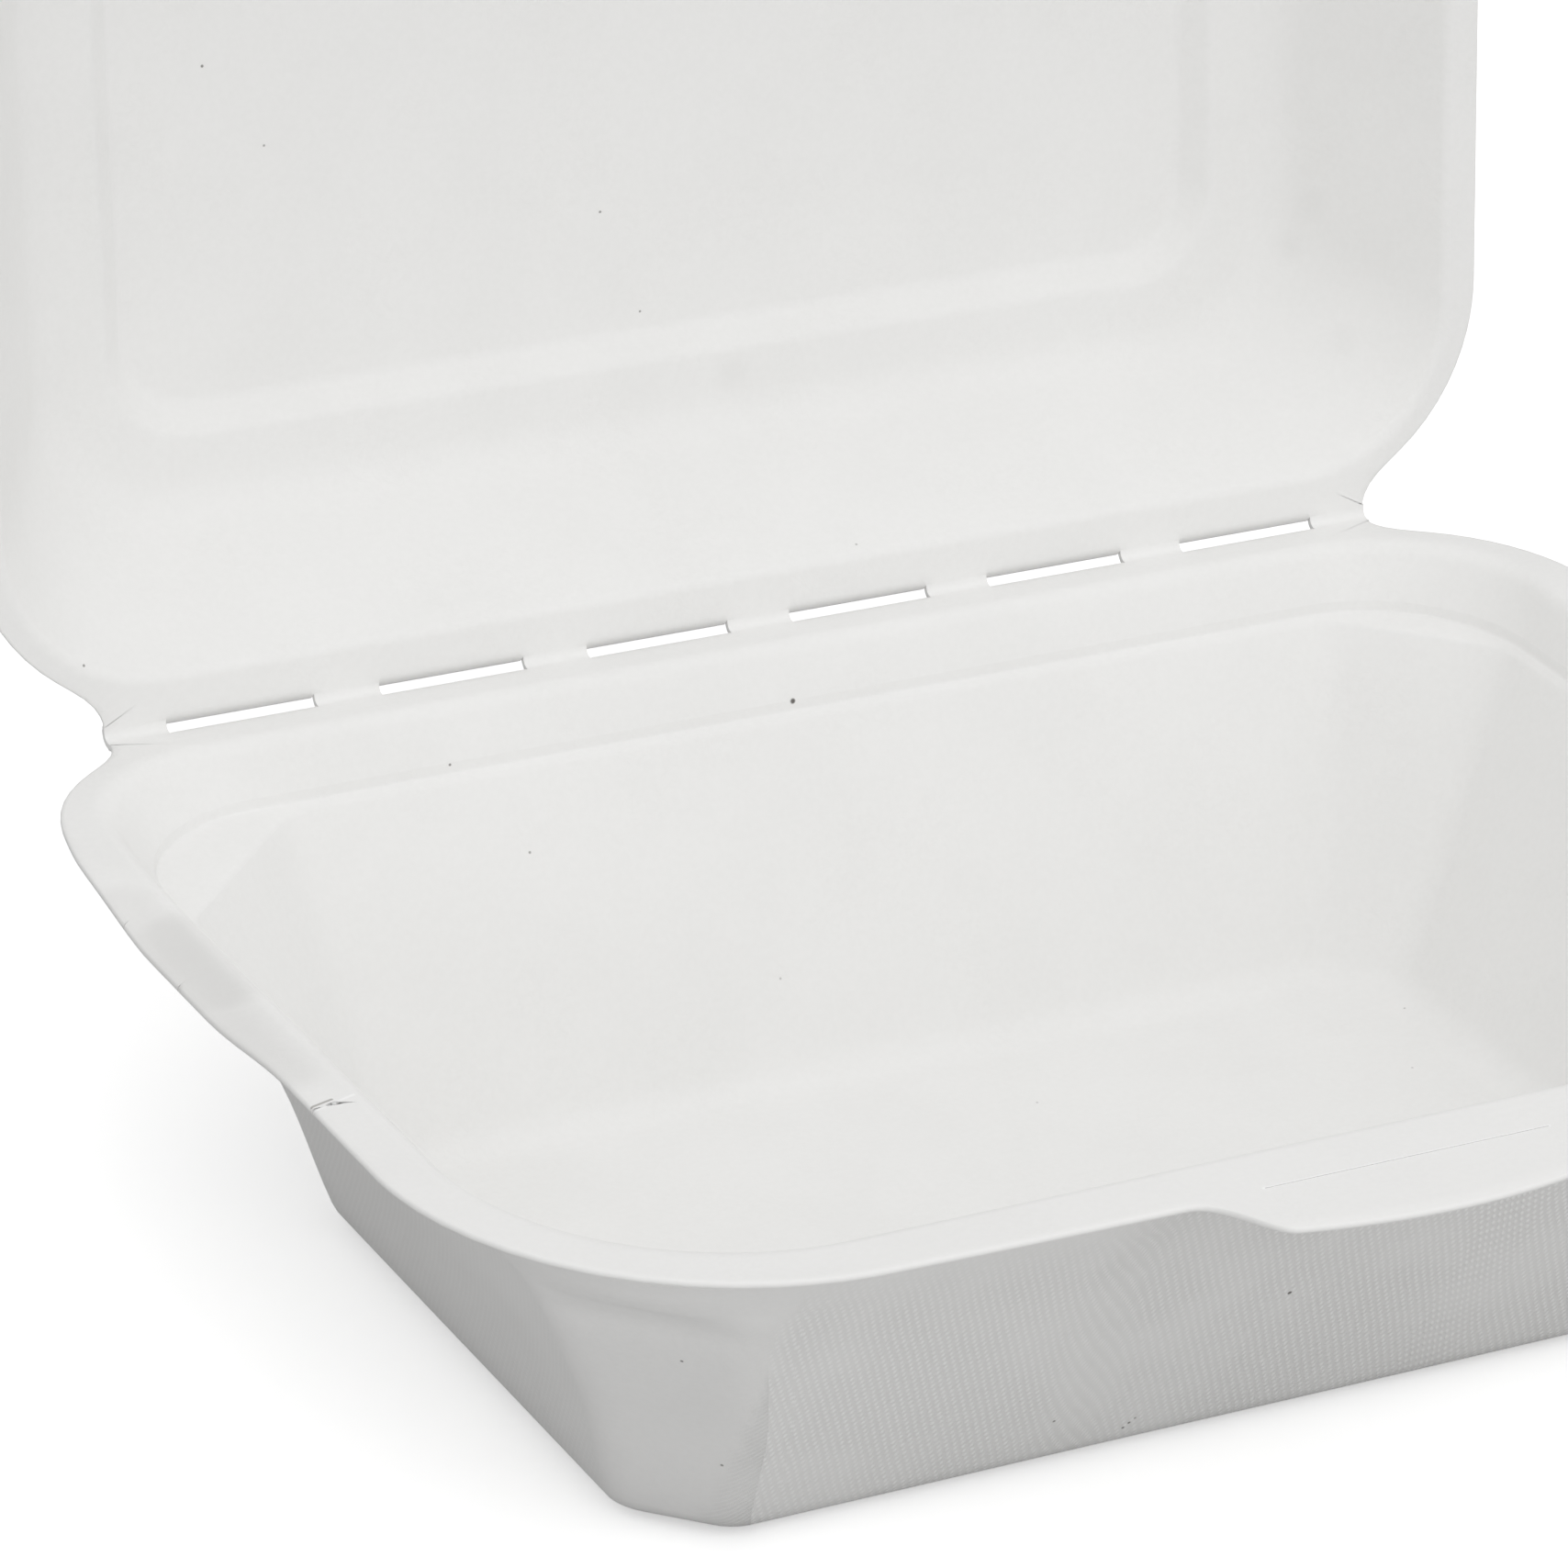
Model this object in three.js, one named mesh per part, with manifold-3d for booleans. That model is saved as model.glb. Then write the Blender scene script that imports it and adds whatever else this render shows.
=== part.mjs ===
// Moulded-pulp takeaway food box with a hinged lid, standing open.
// Millimetres, +Z up. The origin is the middle of the tray's underside, and the lid folds
// about a line along X behind the tray. The box is one moulding, folded along that line.
import * as THREE from 'three';
import { mergeVertices } from 'three/addons/utils/BufferGeometryUtils.js';
import Module from 'manifold-3d';

// Driving dimensions

// Board
const TRAY_WALL = 0.72;
const LID_WALL = 0.49;

// Rim of the tray and of the lid, seen in plan
const RIM_LENGTH = 184.4;
const RIM_DEPTH = 136.6;
const FRONT_CORNER_R = 37;
const REAR_CORNER_R = 24;

// Fold line between the tray and the lid
const HINGE_INSET = 14.5;
const HINGE_STRIP = 1.7;
const FOLD_GAP = 0.3;
const SLOT_COUNT = 6;
const SLOT_HALF_WIDTH = 0.55;
const LAND_LENGTH = 7.6;
const END_LAND_LENGTH = 7.1;
const OPEN_ANGLE = 96;

// Tray, from the rim down
const TRAY_HEIGHT = 43.8;
const TRAY_SIDE_RIM = 6.2;
const TRAY_FRONT_RIM = 7.3;
const TRAY_REAR_RIM = 5.7;
const COLLAR_DROP = 6.7;
const COLLAR_LEAN = 1.6;
const LEDGE_WIDTH = 2;
const LEDGE_DROP = 0.7;
const TRAY_WALL_LEAN = 17.1;
const MOUTH_REAR_R = 18;
const MOUTH_FRONT_R = 30;
const COLLAR_FRONT_R = 25;
const WALL_CORNER = 20;
const FLOOR_CORNER = 10;
const FLOOR_EDGE_R = 4;
const RIM_EDGE_R = 1.4;
const RIM_LEAD = 1.2;

// Lid, from the rim up when it is shut
const LID_SIDE_RIM = 4.1;
const LID_REAR_RIM = 5.7;
const LID_FRONT_RIM = 6;
const LID_WALL_RISE = 18.6;
const LID_WALL_LEAN = 11.8;
const LID_SHOULDER_WIDTH = 8.2;
const LID_PANEL_RISE = 2.8;
const LID_PANEL_LEAN = 2.8;
const LID_MOUTH_REAR_R = 18;
const LID_MOUTH_FRONT_R = 31;
const LID_SHOULDER_CORNER = 15;
const LID_PANEL_CORNER = 8;
const LID_SHOULDER_R = 6;
const LID_PANEL_EDGE_R = 1.5;

// Closure: a tab with a slit on the tray, and a tongue on the lid
const TAB_WIDTH = 37;
const TAB_REACH = 10.2;
const TAB_BOW = 1.2;
const TAB_SWEEP = 6;
const SLIT_LENGTH = 32;
const SLIT_WIDTH = 0.5;
const SLIT_SETBACK = 0.1;
const TONGUE_CLEARANCE = 1;
const TONGUE_REACH = 9.5;
const TONGUE_CORNER_R = 5;

// Tear in the left side of the tray's rim, measured from the fold line
const TEAR_SETBACK = 85;
const TEAR_LENGTH = 3.6;
const TEAR_WIDTH = 0.6;

// Fineness of the facets
const CORNER_STEPS = 10;
const FILLET_STEPS = 3;
const OVERCUT = 2;

// Places that follow from the sizes above
const halfLength = RIM_LENGTH / 2;
const halfHinge = halfLength - HINGE_INSET;
const slotLength = (2 * halfHinge - 2 * END_LAND_LENGTH - (SLOT_COUNT - 1) * LAND_LENGTH) / SLOT_COUNT;
const slotPitch = slotLength + LAND_LENGTH;
const trayReach = COLLAR_LEAN + LEDGE_WIDTH + TRAY_WALL_LEAN;
const floorRear = TRAY_REAR_RIM + trayReach;
const floorFront = RIM_DEPTH - TRAY_FRONT_RIM - trayReach;
const hingeY = (floorRear + floorFront) / 2;
const hingeZ = TRAY_HEIGHT + FOLD_GAP / 2;

const wasm = await Module();
wasm.setup();

// Turns a three.js geometry into a solid that can be joined and cut.
function solid(geometry) {
  const bare = geometry.clone();
  bare.deleteAttribute('normal');
  bare.deleteAttribute('uv');
  const merged = mergeVertices(bare, 1e-5);
  return new wasm.Manifold(new wasm.Mesh({
    numProp: 3,
    vertProperties: new Float32Array(merged.attributes.position.array),
    triVerts: new Uint32Array(merged.index.array),
  }));
}

// Turns a finished solid back into a named three.js mesh.
function namedMesh(name, body, material) {
  const data = body.getMesh();
  const geometry = new THREE.BufferGeometry();
  geometry.setAttribute('position', new THREE.BufferAttribute(data.vertProperties, 3));
  geometry.setIndex(new THREE.BufferAttribute(data.triVerts, 1));
  geometry.computeVertexNormals();
  const mesh = new THREE.Mesh(geometry, material);
  mesh.name = name;
  return mesh;
}

// Rounds the corners of a section line. Each point is [inward, up, radius].
function roundedSection(points) {
  const line = [];
  points.forEach(([x, y, radius], index) => {
    const here = new THREE.Vector2(x, y);
    if (!radius) {
      line.push(here);
      return;
    }
    const before = new THREE.Vector2(...points[index - 1].slice(0, 2)).sub(here).normalize();
    const after = new THREE.Vector2(...points[index + 1].slice(0, 2)).sub(here).normalize();
    const halfAngle = Math.acos(before.dot(after)) / 2;
    const reach = radius / Math.tan(halfAngle);
    const start = here.clone().addScaledVector(before, reach);
    const end = here.clone().addScaledVector(after, reach);
    const bend = new THREE.QuadraticBezierCurve(start, here, end);
    line.push(...bend.getPoints(FILLET_STEPS));
  });
  return line;
}

// Moves a section line sideways by a distance, to the left of its direction.
function offsetSection(line, distance) {
  return line.map((point, index) => {
    const before = line[Math.max(index - 1, 0)];
    const after = line[Math.min(index + 1, line.length - 1)];
    const along = after.clone().sub(before).normalize();
    return point.clone().add(new THREE.Vector2(-along.y, along.x).multiplyScalar(distance));
  });
}

// One level of a cup in plan: a rectangle whose four corners are arcs, or flats where flatness is 1.
// Y is measured from the fold line, so it is negative over the tray.
function planRing({ half, rear, front, rearCorner, frontCorner, flatness }) {
  const corners = [
    [-half + frontCorner, front + frontCorner, frontCorner, Math.PI],
    [half - frontCorner, front + frontCorner, frontCorner, 1.5 * Math.PI],
    [half - rearCorner, rear - rearCorner, rearCorner, 0],
    [-half + rearCorner, rear - rearCorner, rearCorner, 0.5 * Math.PI],
  ];
  return corners.flatMap(([cx, cy, radius, startAngle]) => {
    const arc = [];
    for (let step = 0; step <= CORNER_STEPS; step += 1) {
      const share = step / CORNER_STEPS;
      const angle = startAngle + share * Math.PI / 2;
      const round = new THREE.Vector2(Math.cos(angle), Math.sin(angle));
      const first = new THREE.Vector2(Math.cos(startAngle), Math.sin(startAngle));
      const last = new THREE.Vector2(-first.y, first.x);
      const flat = first.lerp(last, share);
      arc.push(round.lerp(flat, flatness).multiplyScalar(radius).add(new THREE.Vector2(cx, cy)));
    }
    return arc;
  });
}

// Closed solid through a stack of plan rings, each with its height.
function loft(levels) {
  const count = levels[0].ring.length;
  const positions = [];
  const triangles = [];
  levels.forEach(({ ring, z }) => ring.forEach((point) => positions.push(point.x, point.y, z)));
  for (let level = 0; level < levels.length - 1; level += 1) {
    for (let side = 0; side < count; side += 1) {
      const a = level * count + side;
      const b = level * count + (side + 1) % count;
      triangles.push(a, b, b + count, a, b + count, a + count);
    }
  }
  const top = (levels.length - 1) * count;
  for (let side = 1; side < count - 1; side += 1) {
    triangles.push(0, side + 1, side);
    triangles.push(top, top + side, top + side + 1);
  }
  const geometry = new THREE.BufferGeometry();
  geometry.setAttribute('position', new THREE.Float32BufferAttribute(positions, 3));
  geometry.setIndex(triangles);
  return solid(geometry);
}

// Value between two ends, as a share of the way that stays within them.
function between(from, to, share) {
  return from + (to - from) * Math.min(Math.max(share, 0), 1);
}

// Plan ring of the tray's cup at a distance in from its mouth, moved out again by the wall.
function trayRing(inward, outset) {
  const collarFront = between(MOUTH_FRONT_R, COLLAR_FRONT_R, inward / COLLAR_LEAN);
  const ledgeShare = (inward - COLLAR_LEAN) / LEDGE_WIDTH;
  const wallShare = (inward - COLLAR_LEAN - LEDGE_WIDTH) / TRAY_WALL_LEAN;
  const wallCorner = between(WALL_CORNER, FLOOR_CORNER, wallShare);
  return planRing({
    half: halfLength - TRAY_SIDE_RIM - inward + outset,
    rear: -TRAY_REAR_RIM - inward + outset,
    front: -RIM_DEPTH + TRAY_FRONT_RIM + inward - outset,
    rearCorner: between(MOUTH_REAR_R, wallCorner, ledgeShare),
    frontCorner: between(collarFront, wallCorner, ledgeShare),
    flatness: between(0, 0.9, ledgeShare),
  });
}

// Plan ring of the lid's cup at a distance in from its mouth, moved out again by the wall.
function lidRing(inward, outset) {
  const wallShare = inward / LID_WALL_LEAN;
  const panelShare = (inward - LID_WALL_LEAN) / (LID_SHOULDER_WIDTH + LID_PANEL_LEAN);
  const rearWallCorner = between(LID_MOUTH_REAR_R, LID_SHOULDER_CORNER, wallShare);
  const frontWallCorner = between(LID_MOUTH_FRONT_R, LID_SHOULDER_CORNER, wallShare);
  return planRing({
    half: halfLength - LID_SIDE_RIM - inward + outset,
    rear: -LID_REAR_RIM - inward + outset,
    front: -RIM_DEPTH + LID_FRONT_RIM + inward - outset,
    rearCorner: between(rearWallCorner, LID_PANEL_CORNER, panelShare),
    frontCorner: between(frontWallCorner, LID_PANEL_CORNER, panelShare),
    flatness: 0,
  });
}

// Solid inside a section line that is moved out by a wall, with its mouth carried on to a height.
function cupSolid(line, ringAt, wall, mouthZ) {
  const moved = offsetSection(line, wall);
  const levels = line.map((point, index) => ({
    ring: ringAt(point.x, point.x - moved[index].x),
    z: moved[index].y,
  }));
  levels.unshift({ ring: levels[0].ring, z: mouthZ });
  return loft(levels);
}

// Outline of half a rim, from the front middle round to the fold line, on the right.
function rimSide() {
  const cornerX = halfLength - REAR_CORNER_R;
  const flareX = halfHinge + HINGE_STRIP;
  const cornerY = flareX - 2 * HINGE_STRIP - cornerX - Math.SQRT2 * REAR_CORNER_R;
  const side = new THREE.Path();
  side.absarc(halfLength - FRONT_CORNER_R, -RIM_DEPTH + FRONT_CORNER_R, FRONT_CORNER_R,
    -Math.PI / 2, 0, false);
  side.absarc(cornerX, cornerY, REAR_CORNER_R, 0, Math.PI / 4, false);
  side.lineTo(halfHinge, -HINGE_STRIP);
  return side.getPoints(CORNER_STEPS);
}

// Rear edge of a rim, from right to left, with half of each slot cut into it.
function foldEdge() {
  const edge = [new THREE.Vector2(halfHinge, -FOLD_GAP / 2)];
  for (let index = SLOT_COUNT - 1; index >= 0; index -= 1) {
    const middle = (index - (SLOT_COUNT - 1) / 2) * slotPitch;
    const right = middle + slotLength / 2;
    const left = middle - slotLength / 2;
    const inset = SLOT_HALF_WIDTH;
    edge.push(new THREE.Vector2(right, -FOLD_GAP / 2));
    edge.push(new THREE.Vector2(right - inset / 2, -inset));
    edge.push(new THREE.Vector2(left + inset / 2, -inset));
    edge.push(new THREE.Vector2(left, -FOLD_GAP / 2));
  }
  edge.push(new THREE.Vector2(-halfHinge, -FOLD_GAP / 2));
  return edge;
}

// Mirror image of a run of points, taken in the other direction.
function mirrored(points) {
  return points.map((point) => new THREE.Vector2(-point.x, point.y)).reverse();
}

// Right half of the tray's tab, from the middle of its front edge out to the rim.
function tabEdge() {
  const front = -RIM_DEPTH - TAB_REACH;
  const sweep = new THREE.CubicBezierCurve(
    new THREE.Vector2(TAB_WIDTH / 2 - TAB_SWEEP / 3, front + TAB_BOW),
    new THREE.Vector2(TAB_WIDTH / 2 + TAB_SWEEP / 6, front + TAB_BOW),
    new THREE.Vector2(TAB_WIDTH / 2 + TAB_SWEEP / 3, -RIM_DEPTH),
    new THREE.Vector2(TAB_WIDTH / 2 + TAB_SWEEP, -RIM_DEPTH),
  );
  return [new THREE.Vector2(0, front), ...sweep.getPoints(CORNER_STEPS)];
}

// Right half of the lid's tongue, which passes through the slit with a clearance.
function tongueEdge() {
  const half = SLIT_LENGTH / 2 - TONGUE_CLEARANCE;
  const front = -RIM_DEPTH - TONGUE_REACH;
  const corner = new THREE.Path();
  corner.moveTo(0, front);
  corner.absarc(half - TONGUE_CORNER_R, front + TONGUE_CORNER_R, TONGUE_CORNER_R,
    -Math.PI / 2, 0, false);
  corner.lineTo(half, -RIM_DEPTH);
  return corner.getPoints(CORNER_STEPS);
}

// Flat rim board with its closure, from z = 0 up by the wall's thickness.
function rimBoard(closure, holes, wall) {
  const right = [...closure, ...rimSide()];
  const left = mirrored(right).slice(0, -1);
  const shape = new THREE.Shape([...right, ...foldEdge(), ...left]);
  shape.holes.push(...holes);
  return solid(new THREE.ExtrudeGeometry(shape, { depth: wall, bevelEnabled: false }));
}

// Slit across the tab, a narrow hole along X.
function slitHole() {
  const middle = -RIM_DEPTH + SLIT_SETBACK;
  const half = SLIT_LENGTH / 2;
  return new THREE.Path([
    new THREE.Vector2(-half, middle),
    new THREE.Vector2(-half + SLIT_WIDTH, middle + SLIT_WIDTH / 2),
    new THREE.Vector2(half - SLIT_WIDTH, middle + SLIT_WIDTH / 2),
    new THREE.Vector2(half, middle),
    new THREE.Vector2(half - SLIT_WIDTH, middle - SLIT_WIDTH / 2),
    new THREE.Vector2(-half + SLIT_WIDTH, middle - SLIT_WIDTH / 2),
  ]);
}

// Wedge that the tear takes out of the right edge of a rim.
function tearWedge() {
  const shape = new THREE.Shape([
    new THREE.Vector2(halfLength + OVERCUT, -TEAR_SETBACK + TEAR_WIDTH),
    new THREE.Vector2(halfLength - TEAR_LENGTH, -TEAR_SETBACK),
    new THREE.Vector2(halfLength + OVERCUT, -TEAR_SETBACK - TEAR_WIDTH),
  ]);
  const depth = TRAY_WALL + 2 * OVERCUT;
  const wedge = new THREE.ExtrudeGeometry(shape, { depth, bevelEnabled: false });
  wedge.translate(0, 0, -OVERCUT);
  return solid(wedge);
}

// A rim with a cup rising from it. The face that meets the other half of the box is at z = 0.
function moulding(section, ringAt, rim, wall) {
  const inside = cupSolid(section, ringAt, 0, -OVERCUT);
  const outside = cupSolid(section, ringAt, wall, wall / 2);
  return rim.add(outside).subtract(inside);
}

// Tray, upside down, with its fold line on the X axis.
function traySolid() {
  const floorDepth = TRAY_HEIGHT - TRAY_WALL;
  const section = roundedSection([
    [-RIM_LEAD, 0, 0],
    [0, 0, RIM_EDGE_R],
    [COLLAR_LEAN, COLLAR_DROP, 0],
    [COLLAR_LEAN + LEDGE_WIDTH, COLLAR_DROP + LEDGE_DROP, 0],
    [trayReach, floorDepth, FLOOR_EDGE_R],
    [trayReach + FLOOR_EDGE_R * 2, floorDepth, 0],
  ]);
  const rim = rimBoard(tabEdge(), [slitHole()], TRAY_WALL);
  return moulding(section, trayRing, rim, TRAY_WALL).subtract(tearWedge());
}

// Lid as it lies when shut, with its fold line on the X axis.
function lidSolid() {
  const shoulder = LID_WALL_LEAN + LID_SHOULDER_WIDTH;
  const panel = shoulder + LID_PANEL_LEAN;
  const panelHeight = LID_WALL_RISE + LID_PANEL_RISE;
  const section = roundedSection([
    [-RIM_LEAD, 0, 0],
    [0, 0, RIM_EDGE_R],
    [LID_WALL_LEAN, LID_WALL_RISE, LID_SHOULDER_R],
    [shoulder, LID_WALL_RISE, LID_PANEL_EDGE_R],
    [panel, panelHeight, LID_PANEL_EDGE_R],
    [panel + LID_PANEL_EDGE_R * 2, panelHeight, 0],
  ]);
  const rim = rimBoard(tongueEdge(), [], LID_WALL);
  return moulding(section, lidRing, rim, LID_WALL);
}

const pulp = new THREE.MeshStandardMaterial({ color: 0xe6e5e2, roughness: 0.92, metalness: 0 });

// The tray is turned over about Y, so its rim faces up and its tear comes to the left.
const tray = namedMesh('tray', traySolid(), pulp.clone());
tray.position.set(0, hingeY, TRAY_HEIGHT);
tray.rotation.y = Math.PI;

// The lid is hung on the fold line and opened about it.
const lid = namedMesh('lid', lidSolid(), pulp.clone());
lid.position.set(0, 0, FOLD_GAP / 2);
const openLid = new THREE.Group();
openLid.position.set(0, hingeY, hingeZ);
openLid.rotation.x = -THREE.MathUtils.degToRad(OPEN_ANGLE);
openLid.add(lid);

const box = new THREE.Group();
box.add(tray);
box.add(openLid);

export default box;
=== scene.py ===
import math

import bmesh
import bpy
import numpy as np
from mathutils import Matrix, Vector


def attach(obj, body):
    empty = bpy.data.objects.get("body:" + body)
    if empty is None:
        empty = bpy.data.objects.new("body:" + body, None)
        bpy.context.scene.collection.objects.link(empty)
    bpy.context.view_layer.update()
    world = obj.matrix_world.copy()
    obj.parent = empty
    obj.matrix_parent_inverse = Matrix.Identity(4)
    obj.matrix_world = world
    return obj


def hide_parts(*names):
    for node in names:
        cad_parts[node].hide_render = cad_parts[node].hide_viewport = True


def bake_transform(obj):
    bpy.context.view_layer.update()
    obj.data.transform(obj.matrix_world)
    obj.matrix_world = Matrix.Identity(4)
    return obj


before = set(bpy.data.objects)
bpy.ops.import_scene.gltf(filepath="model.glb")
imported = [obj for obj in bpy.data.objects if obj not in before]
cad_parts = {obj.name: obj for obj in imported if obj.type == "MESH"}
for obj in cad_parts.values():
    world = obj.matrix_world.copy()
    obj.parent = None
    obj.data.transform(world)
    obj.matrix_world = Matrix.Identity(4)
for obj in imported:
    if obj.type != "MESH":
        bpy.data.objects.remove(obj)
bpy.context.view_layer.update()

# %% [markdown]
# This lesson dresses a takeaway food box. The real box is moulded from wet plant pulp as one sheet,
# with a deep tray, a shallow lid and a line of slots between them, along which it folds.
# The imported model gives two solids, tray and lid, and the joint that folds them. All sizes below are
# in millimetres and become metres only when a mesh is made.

MM = 0.001

# %% [markdown]
# Seen from above, both halves are rounded rectangles that share the fold line. A loft needs the same
# number of points on every ring, so one list of stations is laid round the box and used for the rim's
# outline, the mouth of the cup and every ring below it. Y is measured from the fold line, so it is
# negative over the tray.

# %% Sizes shared by both halves
RIM_LENGTH, RIM_DEPTH = 184.4, 136.6
FRONT_CORNER_R, REAR_CORNER_R = 37.0, 24.0
HINGE_INSET, HINGE_STRIP = 14.5, 1.7
SLOT_COUNT, LAND_LENGTH, END_LAND_LENGTH = 6, 7.6, 7.1
TRAY_SLOT_INSET, LID_SLOT_INSET, LAND_SETBACK = 0.5, 0.25, 0.9
FOLD_GAP, OPEN_ANGLE, TRAY_HEIGHT = 0.3, 96.0, 43.8
half_length = RIM_LENGTH / 2
half_hinge = half_length - HINGE_INSET
slot_length = (2 * half_hinge - 2 * END_LAND_LENGTH - (SLOT_COUNT - 1) * LAND_LENGTH) / SLOT_COUNT
slot_pitch = slot_length + LAND_LENGTH
HINGE_Y, HINGE_Z = 67.5, TRAY_HEIGHT + FOLD_GAP / 2
print("slots:", SLOT_COUNT, "of", round(slot_length, 2), "mm, every", round(slot_pitch, 2), "mm")


# %% Corners that run from a full round to a flat
CORNER_SHARES = (1 - np.cos(np.linspace(0, np.pi, 21))) / 2


def corner(reach, edge):
    """Corner at the origin, reached along +X and left along +Y: two bends with a flat between them."""
    arc, flat = edge * np.pi / 4, math.sqrt(2) * (reach - edge)
    run = CORNER_SHARES * (2 * arc + flat)
    first = np.clip(run, 0, arc) / max(edge, 1e-6)
    last = np.clip(run - arc - flat, 0, arc) / max(edge, 1e-6)
    middle = np.clip(run - arc, 0, flat) / math.sqrt(2)
    start = np.stack([-reach + edge * np.sin(first), edge * (1 - np.cos(first))], 1)
    turn = np.pi / 4 + last
    bend = np.stack([edge * (np.sin(turn) - np.sin(np.pi / 4)),
                     edge * (np.cos(np.pi / 4) - np.cos(turn))], 1)
    return start + middle[:, None] + bend


def plan_ring(left, right, rear, front, corners, sides):
    """Points of one level in plan, anticlockwise from the front left. A corner is (reach, edge radius)."""
    reach = [size[0] for size in corners]
    turns = zip(corners, ((right, front), (right, rear), (left, rear), (left, front)),
                ((1, 0), (0, 1), (-1, 0), (0, -1)))
    bends = [np.array(place) + corner(*size) @ np.array([[ax, ay], [-ay, ax]], float)
             for size, place, (ax, ay) in turns]

    def across(shares, low, high, y):
        return np.stack([np.where(shares < 0, -shares * low, shares * high), np.full_like(shares, y)], 1)

    def down(shares, low, high, x):
        return np.stack([np.full_like(shares, x), high + shares * (high - low)], 1)

    return np.concatenate([
        across(sides["front"], left + reach[3], right - reach[0], front), bends[0],
        down(sides["right"], front + reach[0], rear - reach[1], right), bends[1],
        across(sides["rear"], left + reach[2], right - reach[1], rear), bends[2],
        down(sides["left"], front + reach[3], rear - reach[2], left), bends[3]])


def smooth(value, start, end):
    """0 below start and 1 above end, with soft ends."""
    t = np.clip((value - start) / (end - start), 0, 1)
    return t * t * (3 - 2 * t)


# %% [markdown]
# The rim's outline carries the small things that make the box readable: the tab with its slit, the
# lid's tongue, half of each slot, and the tears that handling left in the left edge. Each is a run of
# points in the outline, so they are real notches in the board and not painted lines.

# %% Rear edge: half of each slot, with the lands between them set back for the fold
SLOT_END_INSETS = (0.0, 0.2, 0.5, 1.1)
LAND_STEPS, END_LAND_STEPS = (-2, 0, 2), (2, 4.5)


def fold_edge(slot_inset):
    """Points along the fold from right to left. Each slot's end is a small step with its own points."""
    xs, ys = [], []
    for index in range(SLOT_COUNT):
        middle = (index - (SLOT_COUNT - 1) / 2) * slot_pitch
        for inset in SLOT_END_INSETS:
            for side in (-1, 1):
                xs.append(middle + side * (slot_length / 2 - inset))
                ys.append(-LAND_SETBACK if inset == 0 else -slot_inset)
        for share in np.linspace(-1, 1, 7)[1:-1]:
            xs.append(middle + share * (slot_length / 2 - SLOT_END_INSETS[-1]))
            ys.append(-slot_inset)
        if index:
            xs += [middle - slot_pitch / 2 + step for step in LAND_STEPS]
            ys += [-LAND_SETBACK] * len(LAND_STEPS)
    for side in (-1, 1):
        xs += [side * (half_hinge - step) for step in END_LAND_STEPS]
        ys += [-LAND_SETBACK] * len(END_LAND_STEPS)
    order = np.argsort(xs)[::-1]
    return np.stack([np.array(xs)[order], np.array(ys)[order]], 1)


print("points along the fold:", len(fold_edge(TRAY_SLOT_INSET)))

# %% Front edges: the tray's tab and the lid's tongue
FRONT_BOW = 0.8
TAB_REACH, TAB_SIDE_REACH, TAB_HALF, TAB_FOOT = 9.9, 8.0, 16.5, 24.5
TONGUE_REACH, TONGUE_HALF, TONGUE_R = 9.5, 15.0, 5.0
SLIT_HALF, SLIT_Y, SLIT_WIDTH = 16.0, -136.9, 0.16
straight = half_length - FRONT_CORNER_R


def front_edge(right_half):
    """Mirrors the right half of a front edge and lets the whole edge bow forward a little."""
    right = np.array(right_half, float)
    both = np.concatenate([right[::-1] * (-1, 1), right[1:]])
    both[:, 1] -= FRONT_BOW * np.clip(1 - (both[:, 0] / straight) ** 2, 0, 1)
    return both


def bezier(points, steps):
    """Points along a cubic curve with four control points."""
    a, b, c, d = (np.array(p, float) for p in points)
    t = np.linspace(0, 1, steps + 1)[:, None]
    return a * (1 - t) ** 3 + 3 * b * t * (1 - t) ** 2 + 3 * c * t * t * (1 - t) + d * t ** 3


def tab_half():
    """Right half of the tab: a shallow bow that sweeps back into the rim's edge."""
    front, side = -RIM_DEPTH - TAB_REACH, -RIM_DEPTH - TAB_SIDE_REACH
    xs = np.array([0, 2.2, 4.4, 6.6, 8.8, 11, 13, 14.6, 15.7])
    top = [(x, side + (front - side) * (1 - (x / TAB_HALF) ** 2)) for x in xs]
    sweep = bezier([(TAB_HALF, side), (TAB_HALF + 3, side),
                    (TAB_FOOT - 4, -RIM_DEPTH), (TAB_FOOT, -RIM_DEPTH)], 12)
    beyond = [(x, -RIM_DEPTH) for x in np.linspace(TAB_FOOT, straight, 13)[1:-1]]
    return [*top, *sweep, *beyond]


def tongue_half():
    """Right half of the lid's tongue: straight sides with round corners."""
    top = [(x, -RIM_DEPTH - TONGUE_REACH) for x in (0, 2.5, 5, 7.5)]
    round_part = [(TONGUE_HALF - TONGUE_R + TONGUE_R * math.sin(a),
                   -RIM_DEPTH - TONGUE_REACH + TONGUE_R * (1 - math.cos(a)))
                  for a in np.linspace(0, np.pi / 2, 9)]
    side = [(TONGUE_HALF, -RIM_DEPTH - y) for y in (3.2, 1.6, 0.5)]
    beyond = [(x, -RIM_DEPTH) for x in (TONGUE_HALF + 0.6, *np.linspace(TONGUE_HALF, straight, 16)[1:-1])]
    return [*top, *round_part, *side, *beyond]


# %% Left edge: two short cracks where the rim was bent, and the longer tear
NOTCHES = [(-39.5, 0.7, 0.08, 0.5), (-53.3, 0.9, 0.08, 0.7), (-85.9, 2.4, 0.3, 0.8)]
NOTCH_CLEAR = 0.9
low_y, high_y = -RIM_DEPTH + FRONT_CORNER_R, -26.14


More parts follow.
